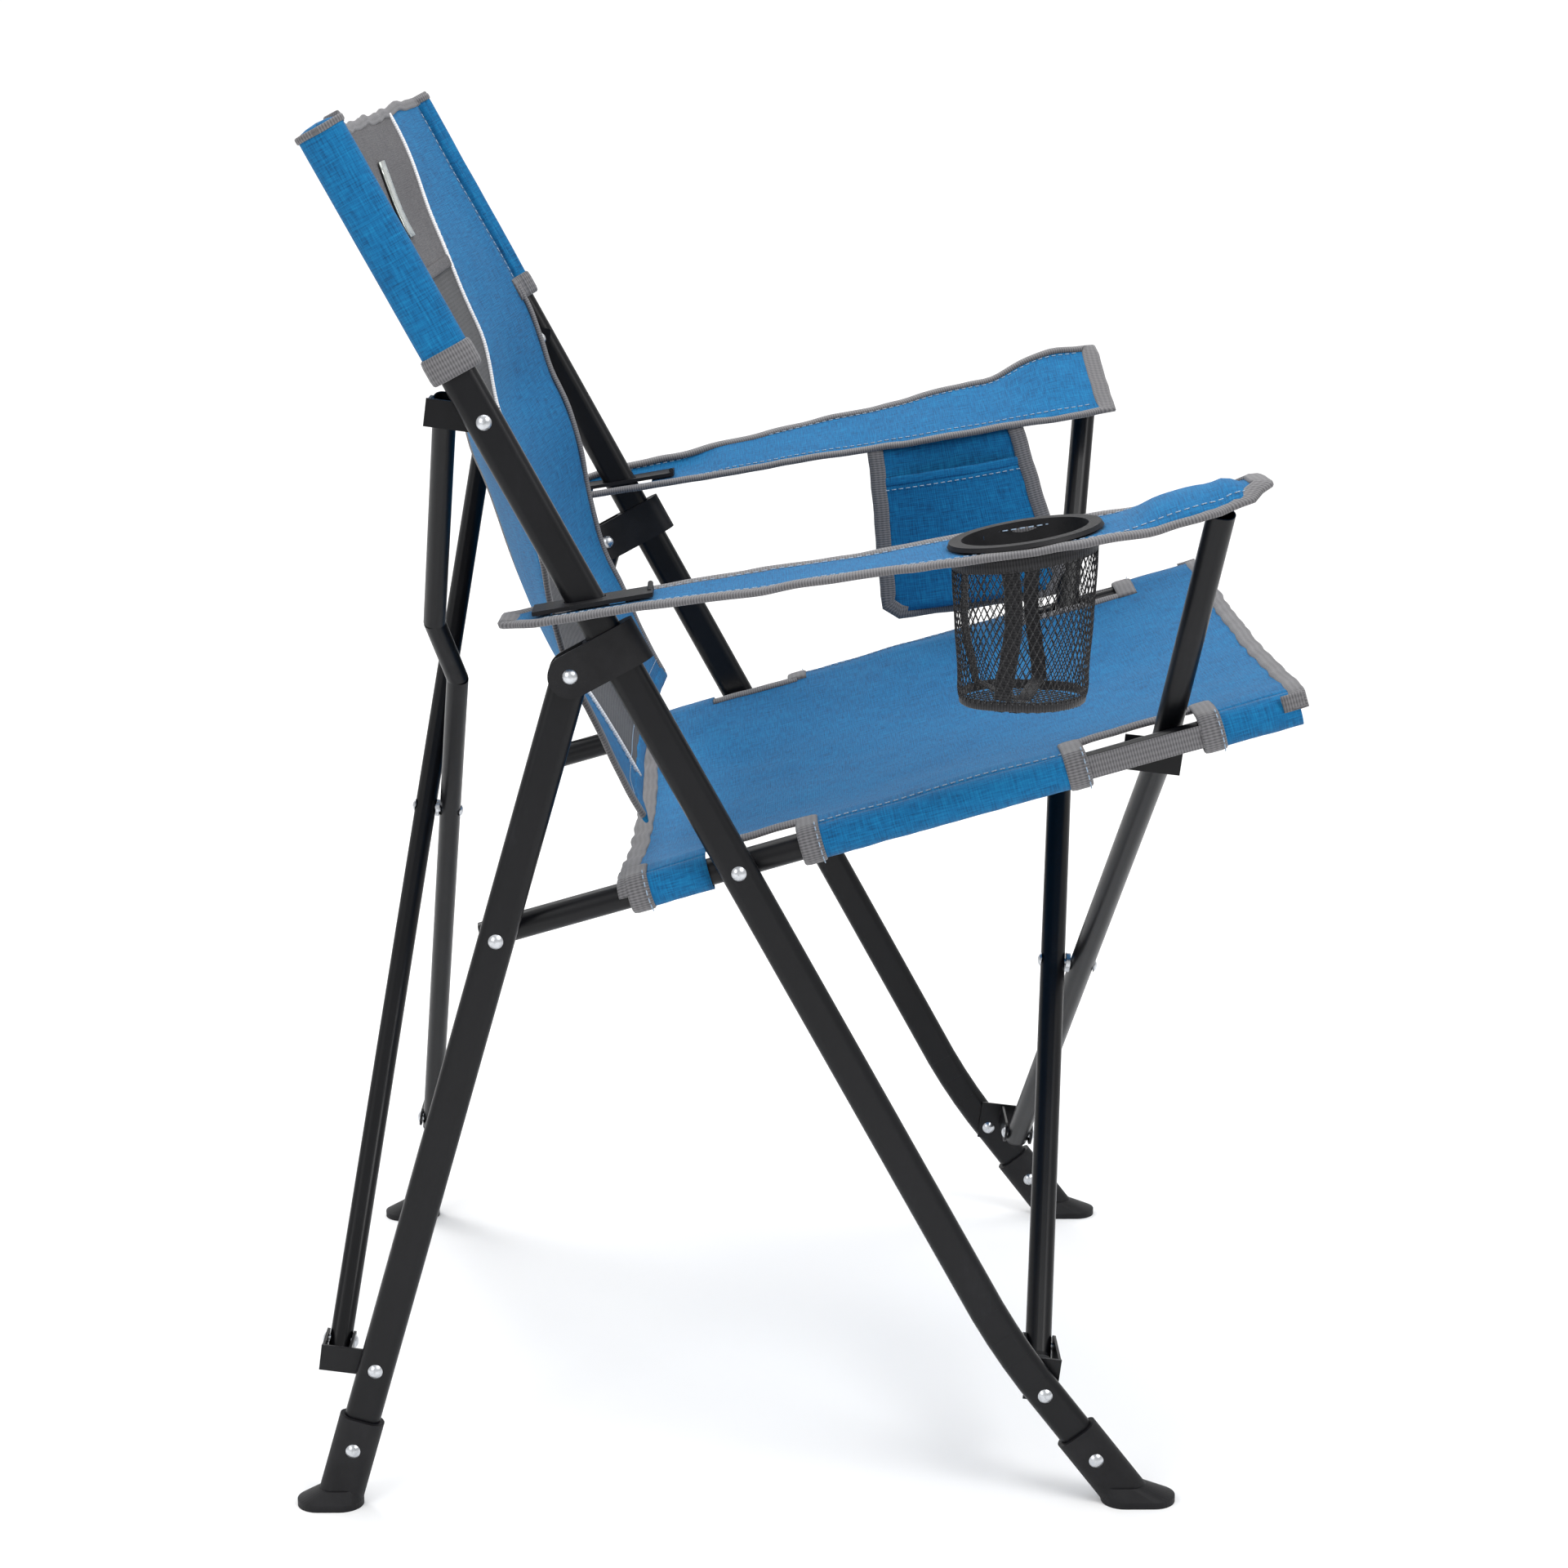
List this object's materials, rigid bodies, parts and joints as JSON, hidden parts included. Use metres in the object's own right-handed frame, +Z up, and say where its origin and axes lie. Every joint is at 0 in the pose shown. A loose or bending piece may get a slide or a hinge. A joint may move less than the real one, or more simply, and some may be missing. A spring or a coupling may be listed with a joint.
{
  "type": "folding camp chair",
  "caption": "Folding camp chair with raked back, sling seat, crossed tube braces, fabric armrests, a cup holder and a side pocket.",
  "frame": {"origin": "On the floor under the middle of the chair's bounding box.", "axes": "+X is the sitter's left, -Y is the front, +Z is up. Nodes named left are on the -X side, as seen from the front."},
  "size_m": [0.7555, 0.7413, 1.0238],
  "materials": {
    "frame": "satin powder coat",
    "plastic": "moulded, matte",
    "steel": "zinc plated",
    "blue_fabric": "melange weave",
    "grey_fabric": "plain weave",
    "mesh": "open net"
  },
  "bodies": {
    "left_frame": {"post_left": "frame", "front_foot_left": "plastic", "post_rivets_left": "steel", "back_sleeve_left": "blue_fabric", "back_sling": "grey_fabric"},
    "left_rail": {"seat_rail_left": "frame", "rail_spacers_left": "plastic", "seat_sleeve_left": "blue_fabric", "seat_sling": "blue_fabric"},
    "right_rail": {"seat_rail_right": "frame", "rail_spacers_right": "plastic", "seat_sleeve_right": "blue_fabric"},
    "right_frame": {"post_right": "frame", "front_foot_right": "plastic", "post_rivets_right": "steel", "back_sleeve_right": "blue_fabric"},
    "left_front_brace": {"front_brace_left": "frame", "front_cap_left": "plastic"},
    "right_front_brace": {"front_brace_right": "frame", "front_cap_right": "plastic", "front_cross_pin": "steel"},
    "left_rear_brace": {"rear_brace_left": "frame", "rear_cap_left": "plastic", "rear_cross_pin": "steel"},
    "right_rear_brace": {"rear_brace_right": "frame", "rear_cap_right": "plastic", "rear_cross_head": "steel"},
    "left_armrest": {"armrest_left": "blue_fabric", "cup_ring": "plastic", "cup_bag": "mesh"},
    "right_armrest": {"armrest_right": "blue_fabric", "side_pocket": "blue_fabric"},
    "left_collar": {"collar_left": "plastic", "collar_rivet_left": "steel"},
    "left_leg": {"rear_leg_left": "frame", "rear_foot_left": "plastic", "leg_rivets_left": "steel"},
    "left_plate": {"arm_plate_left": "plastic"},
    "left_foot_bracket": {"foot_bracket_left": "frame", "foot_pin_left": "steel"},
    "left_seat_bracket": {"seat_bracket_left": "frame", "seat_pin_left": "steel"},
    "left_top_bracket": {"top_bracket_left": "frame", "top_pin_left": "steel"},
    "left_leg_bracket": {"leg_bracket_left": "frame", "leg_pin_left": "steel"},
    "right_collar": {"collar_right": "plastic", "collar_rivet_right": "steel"},
    "right_leg": {"rear_leg_right": "frame", "rear_foot_right": "plastic", "leg_rivets_right": "steel"},
    "right_plate": {"arm_plate_right": "plastic"},
    "right_foot_bracket": {"foot_bracket_right": "frame", "foot_pin_right": "steel"},
    "right_seat_bracket": {"seat_bracket_right": "frame", "seat_pin_right": "steel"},
    "right_top_bracket": {"top_bracket_right": "frame", "top_pin_right": "steel"},
    "right_leg_bracket": {"leg_bracket_right": "frame", "leg_pin_right": "steel"}
  },
  "joints": [
    {"name": "seat_fold", "type": "hinge", "parent": "left_frame", "child": "left_rail", "pos_m": [-0.2825, 0.0365, 0.492], "axis": [-1, 0, 0], "range_deg": [0, 65], "deforming": ["seat_sling", "back_sling"]},
    {"name": "left_foot_swing", "type": "hinge", "parent": "left_frame", "child": "left_foot_bracket", "pos_m": [-0.305, -0.19143, 0.08728], "axis": [-1, 0, 0], "range_deg": [0, 21.55]},
    {"name": "right_brace_turn", "type": "hinge", "parent": "left_foot_bracket", "child": "right_front_brace", "pos_m": [-0.249, -0.19117, 0.10142], "axis": [0, -0.9924, -0.1231], "range_deg": [0, 44.75]},
    {"name": "front_cross", "type": "hinge", "parent": "right_front_brace", "child": "left_front_brace", "pos_m": [0, -0.23207, 0.33372], "axis": [0, -0.9924, -0.1231], "range_deg": [-89.5, 0]},
    {"name": "left_brace_turn", "type": "hinge", "parent": "left_front_brace", "child": "right_foot_bracket", "pos_m": [0.249, -0.21499, 0.09847], "axis": [0, -0.9924, -0.1231], "range_deg": [0, 44.75]},
    {"name": "right_foot_swing", "type": "hinge", "parent": "right_foot_bracket", "child": "right_frame", "pos_m": [0.305, -0.19143, 0.08728], "axis": [-1, 0, 0], "range_deg": [-21.55, 0]},
    {"name": "left_seat_turn", "type": "hinge", "parent": "left_front_brace", "child": "left_seat_bracket", "pos_m": [-0.249, -0.27297, 0.56603], "axis": [0, -0.9924, -0.1231], "range_deg": [0, 44.75]},
    {"name": "right_seat_turn", "type": "hinge", "parent": "right_front_brace", "child": "right_seat_bracket", "pos_m": [0.249, -0.24915, 0.56898], "axis": [0, -0.9924, -0.1231], "range_deg": [-44.75, 0]},
    {"name": "left_collar_slide", "type": "slide", "parent": "left_frame", "child": "left_collar", "axis": [0, -0.4772, -0.8788], "range_m": [0, 0.14067]},
    {"name": "left_leg_fold", "type": "hinge", "parent": "left_collar", "child": "left_leg", "pos_m": [-0.305, 0.15573, 0.6372], "axis": [-1, 0, 0], "range_deg": [0, 22.78]},
    {"name": "left_plate_slide", "type": "slide", "parent": "left_frame", "child": "left_plate", "axis": [0, -0.4772, -0.8788], "range_m": [0, 0.14067]},
    {"name": "left_arm_fold", "type": "hinge", "parent": "left_plate", "child": "left_armrest", "pos_m": [-0.305, 0.09856, 0.69972], "axis": [-0.9848, 0, -0.1736], "range_deg": [0, 65], "deforming": ["armrest_left"]},
    {"name": "left_top_swing", "type": "hinge", "parent": "left_frame", "child": "left_top_bracket", "pos_m": [-0.305, 0.21305, 0.81716], "axis": [-1, 0, 0], "range_deg": [0, 20.16]},
    {"name": "left_rear_cross", "type": "hinge", "parent": "left_top_bracket", "child": "left_rear_brace", "pos_m": [-0.261, 0.24476, 0.82145], "axis": [0, -0.991, -0.1339], "range_deg": [-33.16, 0]},
    {"name": "left_rear_foot_turn", "type": "hinge", "parent": "left_rear_brace", "child": "right_leg_bracket", "pos_m": [0.261, 0.32066, 0.11053], "axis": [0, -0.991, -0.1339], "range_deg": [0, 33.16]},
    {"name": "right_rail_fold", "type": "hinge", "parent": "right_frame", "child": "right_rail", "pos_m": [0.2825, 0.0365, 0.492], "axis": [-1, 0, 0], "range_deg": [0, 65]},
    {"name": "right_collar_slide", "type": "slide", "parent": "right_frame", "child": "right_collar", "axis": [0, -0.4772, -0.8788], "range_m": [0, 0.14067]},
    {"name": "right_leg_fold", "type": "hinge", "parent": "right_collar", "child": "right_leg", "pos_m": [0.305, 0.15573, 0.6372], "axis": [-1, 0, 0], "range_deg": [0, 22.78]},
    {"name": "right_plate_slide", "type": "slide", "parent": "right_frame", "child": "right_plate", "axis": [0, -0.4772, -0.8788], "range_m": [0, 0.14067]},
    {"name": "right_arm_fold", "type": "hinge", "parent": "right_plate", "child": "right_armrest", "pos_m": [0.305, 0.09856, 0.69972], "axis": [-0.9848, 0, 0.1736], "range_deg": [0, 65], "deforming": ["armrest_right", "side_pocket"]},
    {"name": "right_top_swing", "type": "hinge", "parent": "right_frame", "child": "right_top_bracket", "pos_m": [0.305, 0.21305, 0.81716], "axis": [-1, 0, 0], "range_deg": [0, 20.16]},
    {"name": "right_rear_cross", "type": "hinge", "parent": "right_top_bracket", "child": "right_rear_brace", "pos_m": [0.261, 0.24476, 0.82145], "axis": [0, -0.991, -0.1339], "range_deg": [0, 33.16]},
    {"name": "right_rear_foot_turn", "type": "hinge", "parent": "right_rear_brace", "child": "left_leg_bracket", "pos_m": [-0.261, 0.34048, 0.11321], "axis": [0, -0.991, -0.1339], "range_deg": [-33.16, 0]}
  ],
  "couplings": [
    {"joint": "left_foot_swing", "follows": "seat_fold", "ratio": 0.33149},
    {"joint": "right_brace_turn", "follows": "seat_fold", "ratio": 0.68844},
    {"joint": "front_cross", "follows": "seat_fold", "ratio": -1.3769},
    {"joint": "left_brace_turn", "follows": "seat_fold", "ratio": 0.68844},
    {"joint": "right_foot_swing", "follows": "seat_fold", "ratio": -0.33149},
    {"joint": "left_seat_turn", "follows": "seat_fold", "ratio": 0.68844},
    {"joint": "right_seat_turn", "follows": "seat_fold", "ratio": -0.68844},
    {"joint": "left_collar_slide", "follows": "seat_fold", "m_per_rad": 0.12399},
    {"joint": "left_leg_fold", "follows": "seat_fold", "ratio": 0.35042},
    {"joint": "left_plate_slide", "follows": "seat_fold", "m_per_rad": 0.12399},
    {"joint": "left_arm_fold", "follows": "seat_fold", "ratio": 1},
    {"joint": "left_top_swing", "follows": "seat_fold", "ratio": 0.31017},
    {"joint": "left_rear_cross", "follows": "seat_fold", "ratio": -0.51023},
    {"joint": "left_rear_foot_turn", "follows": "seat_fold", "ratio": 0.51023},
    {"joint": "right_rail_fold", "follows": "seat_fold", "ratio": 1},
    {"joint": "right_collar_slide", "follows": "seat_fold", "m_per_rad": 0.12399},
    {"joint": "right_leg_fold", "follows": "seat_fold", "ratio": 0.35042},
    {"joint": "right_plate_slide", "follows": "seat_fold", "m_per_rad": 0.12399},
    {"joint": "right_arm_fold", "follows": "seat_fold", "ratio": 1},
    {"joint": "right_top_swing", "follows": "seat_fold", "ratio": 0.31017},
    {"joint": "right_rear_cross", "follows": "seat_fold", "ratio": 0.51023},
    {"joint": "right_rear_foot_turn", "follows": "seat_fold", "ratio": -0.51023}
  ]
}
